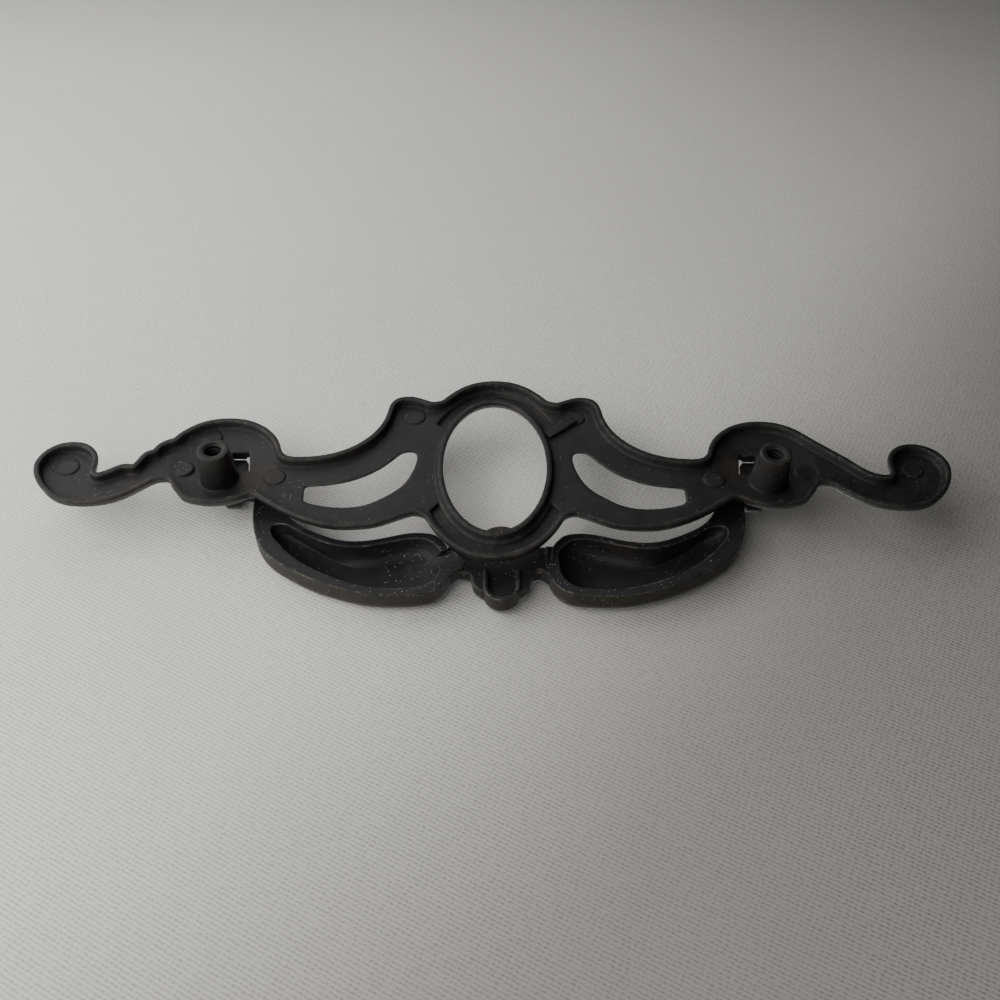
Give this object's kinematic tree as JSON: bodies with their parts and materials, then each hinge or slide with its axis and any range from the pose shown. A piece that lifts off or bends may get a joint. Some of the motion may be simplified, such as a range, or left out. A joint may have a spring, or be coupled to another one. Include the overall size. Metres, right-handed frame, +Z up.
{
  "type": "drawer pull",
  "caption": "Pierced cast backplate with an oval ring, crescent windows and scroll ends, tapped posts behind it, and a leaf-shaped drop bail that swings on side pivots.",
  "frame": {"origin": "midway between the two posts' axes, in the plane of the plate's rim, which is the face that lies against the drawer", "axes": "+X along the plate towards the scalloped arm, +Y out of the back along the posts into the drawer, +Z up"},
  "size_m": [0.1906, 0.0162, 0.0593],
  "materials": {
    "plate_metal": "blackened die casting, satin, worn at the rim",
    "bail_metal": "blackened die casting, satin, worn at the rim"
  },
  "bodies": {
    "plate": {"backplate": "plate_metal"},
    "bail": {"bail": "bail_metal"}
  },
  "joints": [
    {"name": "bail_swing", "type": "hinge", "parent": "plate", "child": "bail", "pos_m": [0, -0.0075, 0], "axis": [-1, 0, 0], "range_deg": [0, 95]}
  ]
}
